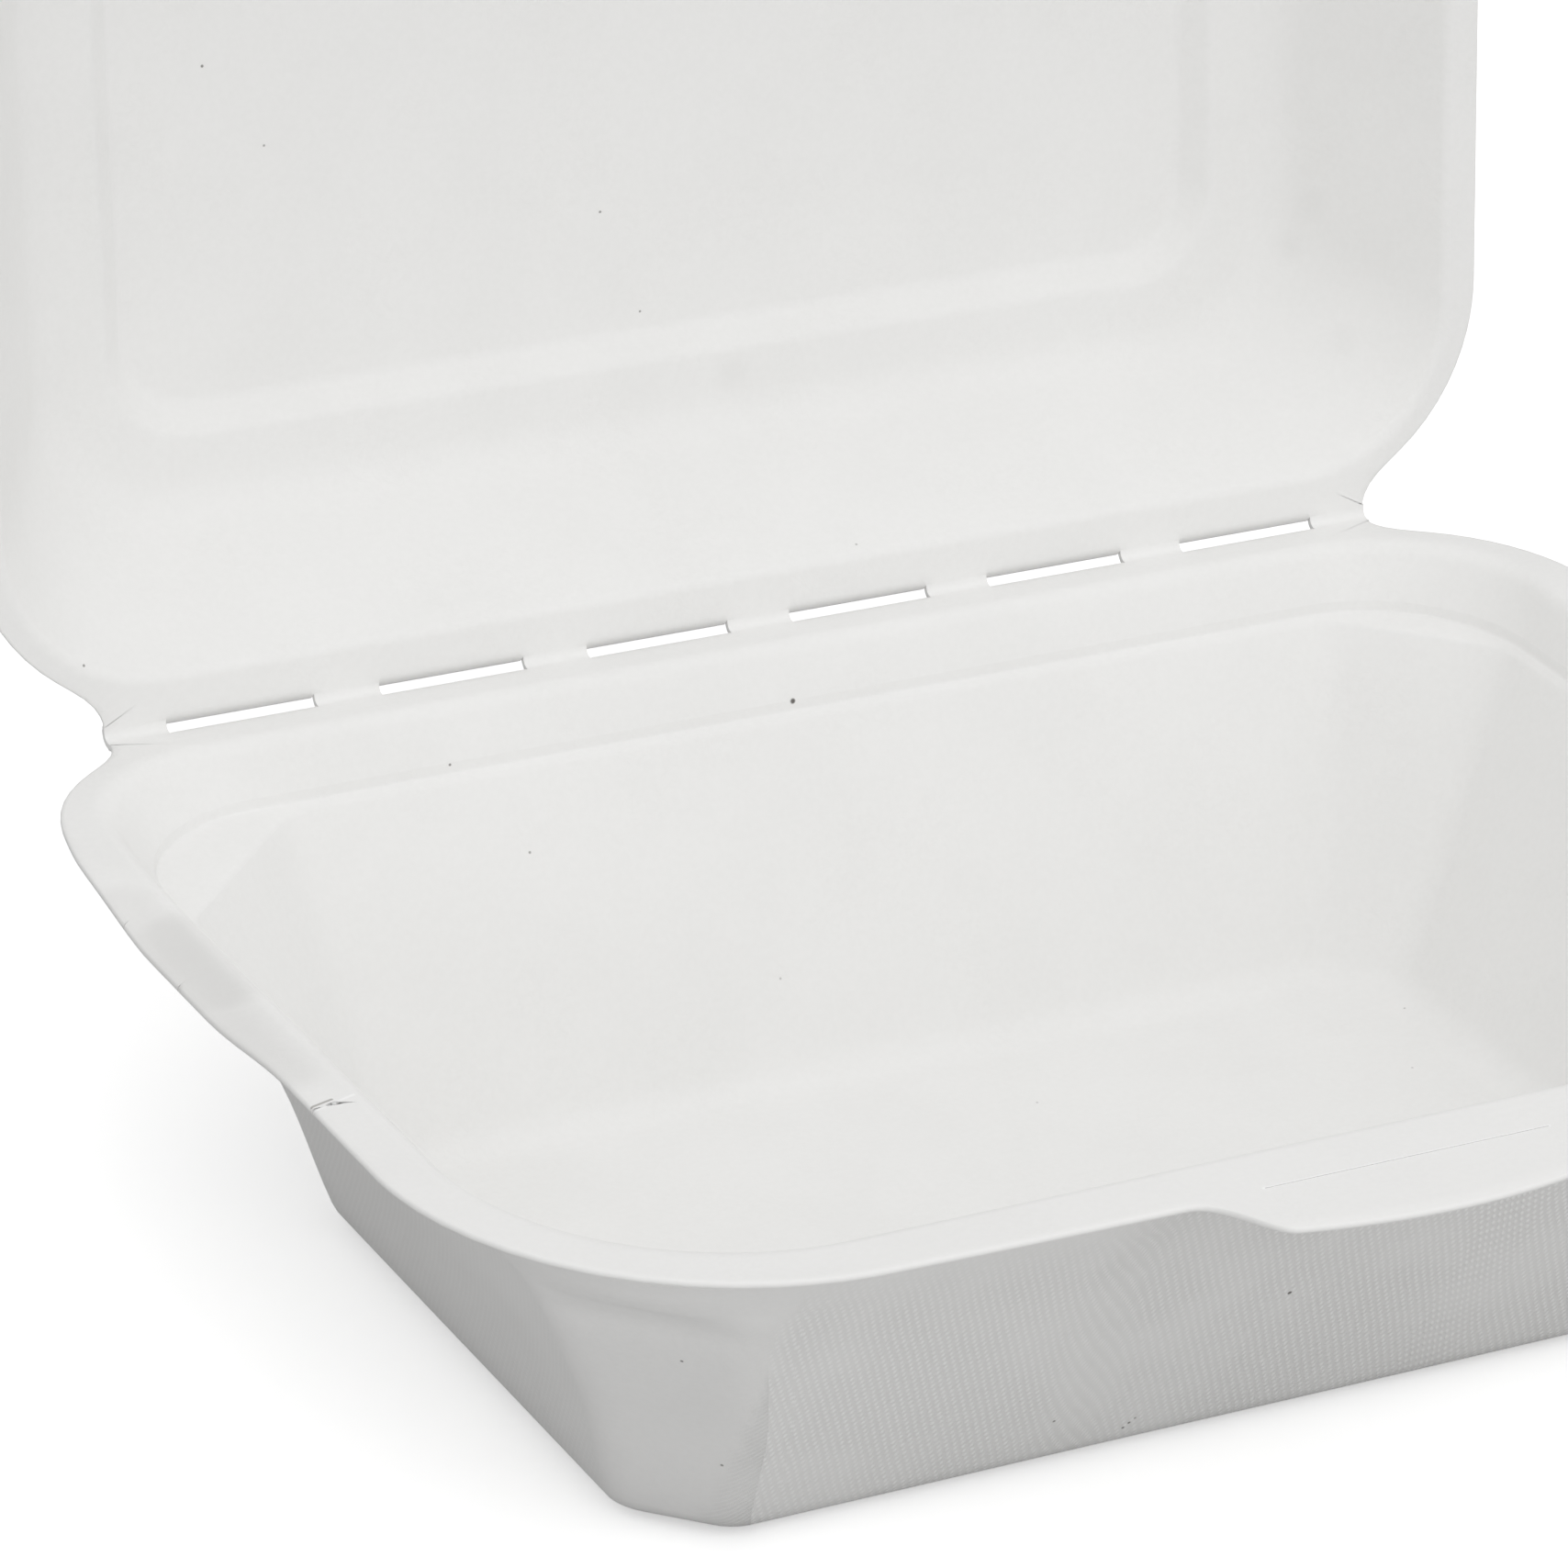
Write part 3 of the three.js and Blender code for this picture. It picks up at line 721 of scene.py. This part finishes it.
# %% The pulp's material
def pulp_material(name, specks, blotches, marks):
    """Specks and blotches are (x, y, z, radius, strength); marks give lines of painted shade or highlight for
    each tone.
    """
    material = bpy.data.materials.new(name)
    material.use_nodes = True
    tree = material.node_tree
    tree.nodes.clear()
    s = Tree(tree)
    place = s.add("ShaderNodeTexCoord").outputs["Object"]

    def noise(scale, detail=2.0, rough=0.5, distortion=0.0):
        node = s.add("ShaderNodeTexNoise", None, Vector=place, Scale=scale, Detail=detail,
                     Roughness=rough, Distortion=distortion)
        return Wire(s, node.outputs["Fac"])

    def strongest(levels):
        total, *others = levels
        for level in others:
            total = total.do("MAXIMUM", level)
        return total

    def nearness(spot, radius, soft):
        """1 close to a spot, 0 from the radius on."""
        node = s.add("ShaderNodeVectorMath", {"operation": "DISTANCE"}, i0=place, i1=[c * MM for c in spot])
        return 1 - Wire(s, node.outputs["Value"]).between(radius * MM * soft, radius * MM)

    def line_mark(first, last, radius):
        """1 near the line between two places, 0 from the radius on."""
        start, run = Vector(first) * MM, (Vector(last) - Vector(first)) * MM
        apart = s.add("ShaderNodeVectorMath", {"operation": "SUBTRACT"}, i0=place, i1=start).outputs[0]
        share = s.add("ShaderNodeVectorMath", {"operation": "DOT_PRODUCT"}, i0=apart,
                      i1=run / run.length_squared).outputs["Value"]
        kept = Wire(s, share).do("MAXIMUM", 0.0).do("MINIMUM", 1.0)
        foot = s.add("ShaderNodeVectorMath", {"operation": "SCALE"}, i0=run, Scale=kept.socket).outputs[0]
        away = s.add("ShaderNodeVectorMath", {"operation": "DISTANCE"}, i0=apart, i1=foot)
        return 1 - Wire(s, away.outputs["Value"]).between(radius * MM * 0.25, radius * MM)

    def blend(factor, first, second):
        """Mixes two colours, each of them fixed or from a node."""
        node = s.add("ShaderNodeMix", {"data_type": "RGBA"}, Factor=factor.socket, i6=first, i7=second)
        return node.outputs[2]

    # Clouds, grain and fibres.
    cloud = noise(55.0, 3.0, 0.55)
    grain = noise(1300.0, 2.0, 0.6)
    fibre_field = noise(420.0, 2.0, 0.5, 1.6)
    fibre = 1 - ((fibre_field - 0.5).do("ABSOLUTE") * 22.0).do("MINIMUM", 1.0)
    sparse = noise(90.0, 1.0).between(0.48, 0.62)
    shade = cloud.between(0.35, 0.75) * 0.30 + grain.between(0.3, 0.7) * 0.22 + fibre * sparse * 0.16
    for x, y, z, radius, weight in blotches:
        shade = shade + nearness((x, y, z), radius, 0.1) * weight
    body = blend(shade.do("MINIMUM", 1.0), PULP, PULP_SHADE)

    # The weave: rows of small crests, each row shifted by half a pitch against the next.
    map_node = s.add("ShaderNodeUVMap", {"uv_map": "screen"})
    parts = s.add("ShaderNodeSeparateXYZ", None, Vector=map_node.outputs[0])
    u, v = Wire(s, parts.outputs["X"]) * UV_SCALE, Wire(s, parts.outputs["Y"]) * UV_SCALE
    wobble = (noise(140.0, 1.0) - 0.5) * 0.4
    slanted = u + v * 0.22 + wobble
    weave = (slanted * (2 * math.pi / SCREEN_PITCH)).do("COSINE") * (v * (math.pi / SCREEN_ROW)).do("COSINE")
    bead = weave.between(-0.15, 0.9)
    strength = Wire(s, s.add("ShaderNodeAttribute", {"attribute_name": "imprint"}).outputs["Fac"])
    patchy = noise(70.0, 2.0).between(0.3, 0.62) * 0.45 + 0.55
    # Painted shade in the weave's pits and painted highlight on its crests, as strong as the imprint.
    weave_painted_light = blend(bead, WEAVE_PIT_PAINTED_SHADE, WEAVE_CREST_PAINTED_HIGHLIGHT)
    colour = blend(strength * patchy * 0.6, body, weave_painted_light)

    # Painted shade and painted highlight lines on the rim, and specks over everything.
    for tone, lines in marks.items():
        level = strongest(line_mark(first, last, radius) * weight for first, last, radius, weight in lines)
        colour = blend(level, colour, tone)
    dark = strongest(nearness((x, y, z), radius, 0.35) * weight for x, y, z, radius, weight in specks)
    colour = blend((dark * (grain * 0.8 + 0.65)).do("MINIMUM", 1.0), colour, SPECK)

    height = bead * strength * patchy * 0.06 + grain * 0.012 + fibre * sparse * 0.006 + cloud * 0.05
    bump = s.add("ShaderNodeBump", None, Height=height.socket, Strength=1.0, Distance=0.001)
    rough = grain * 0.08 + 0.86
    skin = s.add("ShaderNodeBsdfPrincipled", None, Base_Color=colour, Roughness=rough.socket,
                 Normal=bump.outputs[0])
    skin.inputs["Specular IOR Level"].default_value = 0.25
    s.add("ShaderNodeOutputMaterial", None, Surface=skin.outputs[0])
    return material


# %% Places of the specks and of the rim's painted shade and highlight lines, in millimetres in the box's own frame
TRAY_SPECKS = [
    (0.2, 59.3, 37.9, 0.42, 1.0), (-33.9, 54.3, 28.2, 0.22, 0.7), (-41.2, 59.3, 37.8, 0.22, 0.7),
    (-0.7, -51.1, 19.9, 0.34, 0.9), (-14.3, -43.3, 3.6, 0.24, 0.8), (-13.8, -43.6, 4.2, 0.24, 0.8),
    (-13.3, -43.8, 4.8, 0.22, 0.8), (-23.4, -45.1, 7.4, 0.24, 0.8), (-67.6, -49.8, 26.7, 0.24, 0.8),
    (-60.7, -45.6, 11.4, 0.24, 0.8), (-7.1, 46.2, 11.4, 0.2, 0.4), (14.9, 27.0, 0.7, 0.2, 0.4),
    (63.7, 30.2, 0.9, 0.2, 0.4), (57.1, 17.7, 0.7, 0.2, 0.4)]
LID_SPECKS = [
    (-54.4, 95.8, 106.7, 0.24, 0.8), (-47.6, 94.8, 97.1, 0.2, 0.6), (-7.8, 93.4, 84.2, 0.22, 0.7),
    (-3.2, 92.2, 72.2, 0.2, 0.6), (-79.5, 68.8, 52.3, 0.24, 0.7), (13.0, 69.7, 50.3, 0.2, 0.4)]
LID_BLOTCHES = [(6.6, 88.6, 64.8, 3.4, 0.5), (79.1, 85.2, 75.7, 3.0, 0.45), (77.4, 86.7, 70.0, 2.6, 0.45),
                (79.8, 77.9, 61.2, 3.0, 0.45)]


def rim_place(x, fold_y):
    """A place on top of the tray's rim."""
    return (x, fold_y + HINGE_Y, TRAY_HEIGHT)


RIM_PAINTED_LIGHT_LINES = {
    # Painted shade over the dipped stretch of the left rim.
    BENT_RIM_PAINTED_SHADE: [(rim_place(-89.6, -43.0), rim_place(-89.9, -58.0), 5.5, 0.5),
           (rim_place(-91.0, -36.0), rim_place(-91.4, -78.0), 5.0, 0.3)],
    # A painted shadow line inside the long tear.
    CRACK_PAINTED_SHADE: [(rim_place(-92.3, -85.5), rim_place(-89.6, -84.7), 0.26, 0.9)],
    # Painted highlight along the raised torn edges of the left rim and the slit's cut edges.
    TORN_EDGE_PAINTED_HIGHLIGHT: [(rim_place(-92.2, -86.3), rim_place(-87.2, -84.6), 0.26, 0.8),
           (rim_place(-92.0, -39.5), rim_place(-90.1, -38.1), 0.24, 0.8),
           (rim_place(-90.6, -47.7), rim_place(-88.5, -45.9), 0.26, 0.8),
           (rim_place(-92.2, -53.2), rim_place(-90.0, -51.4), 0.26, 0.8),
           (rim_place(-SLIT_HALF, SLIT_Y), rim_place(SLIT_HALF, SLIT_Y), 0.32, 1.0)]}
tray_pulp = pulp_material("pulp_tray", TRAY_SPECKS, [], RIM_PAINTED_LIGHT_LINES)
lid_pulp = pulp_material("pulp_lid", LID_SPECKS, LID_BLOTCHES, {})
print("materials:", tray_pulp.name, lid_pulp.name)

# %% Tray and lid in place
fold_line = (0.0, HINGE_Y * MM, HINGE_Z * MM)
UNEVEN, QUIET = 0.00022, 0.012
tray = warped(tray_mesh, "pulp_tray_shell", tray_pulp,
              {"Amount": UNEVEN, "Waves per metre": 13.0, "Fold line": fold_line, "Quiet distance": QUIET,
               "Seed": 3.0})
lid = warped(lid_mesh, "pulp_lid_shell", lid_pulp,
             {"Amount": UNEVEN, "Waves per metre": 11.0, "Quiet distance": QUIET, "Seed": 8.0})
opened = Matrix.Translation(fold_line) @ Matrix.Rotation(-math.radians(OPEN_ANGLE), 4, "X")
lid.data.transform(opened)
for obj in (tray, lid):
    obj.data.shade_smooth()
    obj.data.set_sharp_from_angle(angle=math.radians(50))
    print(obj.name, "dimensions", [round(d / MM, 1) for d in obj.dimensions])

# %% [markdown]
# Between the slots the board runs on from the tray into the lid. These seven lands follow one rule,
# a bent strip every slot pitch, so Geometry Nodes lay them out: a strip is set on points along the
# fold, and each strip is bent over a small curve from the tray's rim to the lid's.

# %% The tree that lays the lands along the fold
def lands_tree(material):
    """Geometry Nodes that lay strips along the fold and bend each over the same curve."""
    tree = bpy.data.node_groups.new("fold_lands", "GeometryNodeTree")
    ids = tree_inputs(tree, [
        ("Count", "NodeSocketInt", 7), ("Pitch", "NodeSocketFloat", 0.0248),
        ("Land length", "NodeSocketFloat", 0.0076), ("Half fold", "NodeSocketFloat", 0.0777),
        ("Start", "NodeSocketVector", None), ("Bend", "NodeSocketVector", None),
        ("End", "NodeSocketVector", None), ("Board", "NodeSocketFloat", 0.0006)])
    tree.interface.new_socket("Geometry", in_out="OUTPUT", socket_type="NodeSocketGeometry")
    t = Tree(tree)
    given = tree.nodes.new("NodeGroupInput").outputs

    def maths(operation, a, b):
        return t.add("ShaderNodeMath", {"operation": operation}, i0=a, i1=b).outputs[0]

    first = maths("MULTIPLY", maths("MULTIPLY", maths("SUBTRACT", given["Count"], 1.0), -0.5), given["Pitch"])
    line = t.add("GeometryNodeMeshLine", None, Count=given["Count"],
                 Start_Location=t.add("ShaderNodeCombineXYZ", None, X=first).outputs[0],
                 Offset=t.add("ShaderNodeCombineXYZ", None, X=given["Pitch"]).outputs[0]).outputs[0]
    strip = t.add("GeometryNodeMeshGrid", None, Size_X=given["Land length"], Size_Y=1.0,
                  Vertices_X=9, Vertices_Y=15).outputs[0]
    placed = t.add("GeometryNodeInstanceOnPoints", None, Points=line, Instance=strip).outputs[0]
    loose = t.add("GeometryNodeRealizeInstances", None, Geometry=placed).outputs[0]
    spot = t.add("ShaderNodeSeparateXYZ", None,
                 Vector=t.add("GeometryNodeInputPosition").outputs[0]).outputs
    kept = maths("MAXIMUM", maths("MINIMUM", spot["X"], given["Half fold"]),
                 maths("MULTIPLY", given["Half fold"], -1.0))
    path = t.add("GeometryNodeCurveQuadraticBezier", None, Resolution=32, Start=given["Start"],
                 Middle=given["Bend"], End=given["End"]).outputs[0]
    sample = t.add("GeometryNodeSampleCurve", {"mode": "FACTOR"}, Curves=path,
                   Factor=maths("ADD", spot["Y"], 0.5))
    bent = t.add("ShaderNodeSeparateXYZ", None, Vector=sample.outputs["Position"]).outputs
    where = t.add("ShaderNodeCombineXYZ", None, X=kept, Y=bent["Y"], Z=bent["Z"]).outputs[0]
    food_side = t.add("GeometryNodeSetPosition", None, Geometry=loose, Position=where).outputs[0]
    grown = t.add("GeometryNodeExtrudeMesh", {"mode": "FACES"}, Mesh=food_side, Individual=False,
                  Offset_Scale=maths("MULTIPLY", given["Board"], -1.0))
    both = t.add("GeometryNodeJoinGeometry")
    tree.links.new(food_side, both.inputs[0])
    tree.links.new(grown.outputs["Mesh"], both.inputs[0])
    real = t.add("GeometryNodeRealizeInstances", None, Geometry=both.outputs[0]).outputs[0]
    done = t.add("GeometryNodeSetMaterial", None, Geometry=real, Material=material).outputs[0]
    t.add("NodeGroupOutput", None, Geometry=done)
    return tree, ids


# %% Seven lands bent over the open fold
def on_lid(y, z):
    """Place of a point of the shut lid's section once the lid is open."""
    return opened @ Vector((0, y * MM, z * MM))


land_start = Vector((0, (HINGE_Y - LAND_SETBACK) * MM, TRAY_HEIGHT * MM))
land_end = on_lid(-LAND_SETBACK, FOLD_GAP / 2)
slope = on_lid(0, FOLD_GAP / 2) - land_end
reach = (land_start.z - land_end.z) / slope.z
land_bend = land_end + slope * reach
lands_group, land_ids = lands_tree(tray_pulp)
holder = bpy.data.objects.new("lands_source", bpy.data.meshes.new("lands_source"))
bpy.context.collection.objects.link(holder)
modifier = holder.modifiers.new("lands", "NODES")
modifier.node_group = lands_group
for label, value in {"Count": SLOT_COUNT + 1, "Pitch": slot_pitch * MM, "Land length": LAND_LENGTH * MM,
                     "Half fold": half_hinge * MM, "Start": land_start, "Bend": land_bend, "End": land_end,
                     "Board": (TRAY_WALL + LID_WALL) / 2 * MM}.items():
    modifier[land_ids[label]] = tuple(value) if isinstance(value, Vector) else value
lands = bpy.data.objects.new("fold_lands", plain_mesh(holder, "fold_lands"))
bpy.context.collection.objects.link(lands)
bpy.data.objects.remove(holder)
work = bmesh.new()
work.from_mesh(lands.data)
bmesh.ops.remove_doubles(work, verts=work.verts, dist=1e-6)
bmesh.ops.recalc_face_normals(work, faces=work.faces)
work.to_mesh(lands.data)
work.free()
lands.data.shade_smooth()
lands.data.set_sharp_from_angle(angle=math.radians(50))
print("lands:", len(lands.data.polygons), "faces, bent from", tuple(round(c / MM, 2) for c in land_start),
      "to", tuple(round(c / MM, 2) for c in land_end))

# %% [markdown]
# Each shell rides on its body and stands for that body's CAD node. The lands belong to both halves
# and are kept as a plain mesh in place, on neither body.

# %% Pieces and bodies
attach(tray, "tray")
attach(lid, "lid")
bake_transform(lands)
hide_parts("tray")
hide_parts("lid")

# %% [markdown]
# The box stands on a pale table among large softboxes: one above, one in front and weaker ones at
# both sides. They are broad glows of the world, each fading with the angle away from it. The table
# shows as white where nothing shades it and keeps the soft shadow of the box.

# %% Floor
floor_mesh = bpy.data.meshes.new("table_top")
floor_mesh.from_pydata([(-4, -4, 0), (4, -4, 0), (4, 4, 0), (-4, 4, 0)], [], [(0, 1, 2, 3)])
table_top = bpy.data.objects.new("table_top", floor_mesh)
table_top.location.z = -0.0001
bpy.context.collection.objects.link(table_top)
floor_paint = bpy.data.materials.new("table_paint")
floor_paint.use_nodes = True
floor_paint.node_tree.nodes.clear()
f = Tree(floor_paint.node_tree)
paint = f.add("ShaderNodeBsdfPrincipled", None, Base_Color=(0.6, 0.6, 0.6, 1), Roughness=0.9)
seen = f.add("ShaderNodeBsdfDiffuse", None, Color=(1.0, 1.0, 1.0, 1))
glow = f.add("ShaderNodeEmission", None, Color=(1, 1, 1, 1), Strength=0.4)
bright = f.add("ShaderNodeAddShader", None, i0=seen.outputs[0], i1=glow.outputs[0])
ray = f.add("ShaderNodeLightPath").outputs["Is Camera Ray"]
mixed = f.add("ShaderNodeMixShader", None, i0=ray, i1=paint.outputs[0], i2=bright.outputs[0])
f.add("ShaderNodeOutputMaterial", None, Surface=mixed.outputs[0])
floor_mesh.materials.append(floor_paint)

# %% Light
SOFTBOXES = {"above": 1.15, "right": 0.49, "left": 0.42, "front": 1.1}
world = bpy.data.worlds.new("studio")
bpy.context.scene.world = world
world.use_nodes = True
world.node_tree.nodes.clear()
w = Tree(world.node_tree)
toward = w.add("ShaderNodeSeparateXYZ", None, Vector=w.add("ShaderNodeTexCoord").outputs["Generated"]).outputs
east, north, above = (Wire(w, toward[axis]) for axis in "XYZ")
glow_from = {"above": above.do("MAXIMUM", 0.0) ** 2.0, "right": east.do("MAXIMUM", 0.0) ** 1.5,
             "left": (0.0 - east).do("MAXIMUM", 0.0) ** 1.5, "front": (0.0 - north).do("MAXIMUM", 0.0) ** 1.5}
light = sum(glow_from[side] * level for side, level in SOFTBOXES.items())
ray = w.add("ShaderNodeLightPath").outputs["Is Camera Ray"]
strength = w.add("ShaderNodeMix", {"data_type": "FLOAT"}, i0=ray, i2=light.socket, i3=1.0).outputs[0]
sky = w.add("ShaderNodeBackground", None, Color=(1, 1, 1, 1), Strength=strength)
w.add("ShaderNodeOutputWorld", None, Surface=sky.outputs[0])

print("light levels:", SOFTBOXES)

# %% [markdown]
# The camera was fitted to the photograph: a long lens close to a product shot, looking down by 25
# degrees from the front left, and turned by 2 degrees about its own axis.

# %% Camera
YAW, PITCH, ROLL = (math.radians(a) for a in (-28.115, 25.017, 2.066))
FOCAL_PIXELS, IMAGE_PIXELS, SENSOR = 8483.3, 1708, 36.0
CAMERA_PLACE = Vector((-366.37, -625.42, 390.30)) * MM
view = Vector((-math.sin(YAW) * math.cos(PITCH), math.cos(YAW) * math.cos(PITCH), -math.sin(PITCH)))
right = Vector((math.cos(YAW), math.sin(YAW), 0))
up = right.cross(view)
camera_x = right * math.cos(ROLL) + up * math.sin(ROLL)
camera_y = up * math.cos(ROLL) - right * math.sin(ROLL)
camera_data = bpy.data.cameras.new("photo_camera")
camera_data.sensor_width, camera_data.lens = SENSOR, FOCAL_PIXELS * SENSOR / IMAGE_PIXELS
camera_data.clip_start, camera_data.clip_end = 0.05, 20
camera = bpy.data.objects.new("photo_camera", camera_data)
axes = Matrix((camera_x, camera_y, -view)).transposed().to_4x4()
camera.matrix_world = Matrix.Translation(CAMERA_PLACE) @ axes
bpy.context.collection.objects.link(camera)
bpy.context.scene.camera = camera
bpy.context.scene.view_settings.view_transform = "Standard"
print("lens", round(camera_data.lens, 1), "mm")
